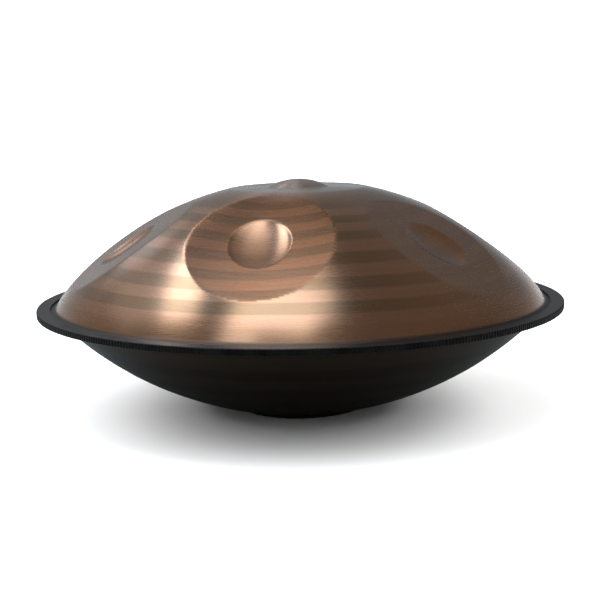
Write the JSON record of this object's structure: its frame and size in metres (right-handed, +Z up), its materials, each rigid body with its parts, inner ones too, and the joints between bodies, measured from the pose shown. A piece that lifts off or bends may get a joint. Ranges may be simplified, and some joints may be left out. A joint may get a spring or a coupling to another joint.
{
  "type": "handpan",
  "caption": "Round steel hand drum of two domed shells bonded at a rubber-edged flange, with pressed oval tone fields around a raised centre and a sound port below.",
  "frame": {"origin": "middle of the flat ring that the instrument rests on, at the ring's own level", "axes": "+Z up through the raised centre, -Y towards the player, who has the largest tone field in front, +X to the player's right"},
  "size_m": [0.567, 0.567, 0.2486],
  "materials": {
    "bronzed_steel": "circular brushed, heat tinted bronze bands",
    "bronzed_steel_lower": "circular brushed, heat tinted bronze",
    "adhesive": "cured epoxy",
    "edging_rubber": "satin, ribbed",
    "clamping_steel": "plain strip"
  },
  "bodies": {
    "root": {"top_shell": "bronzed_steel", "bottom_shell": "bronzed_steel_lower", "flange_adhesive": "adhesive", "edge_trim": "edging_rubber", "trim_core": "clamping_steel"}
  },
  "joints": []
}
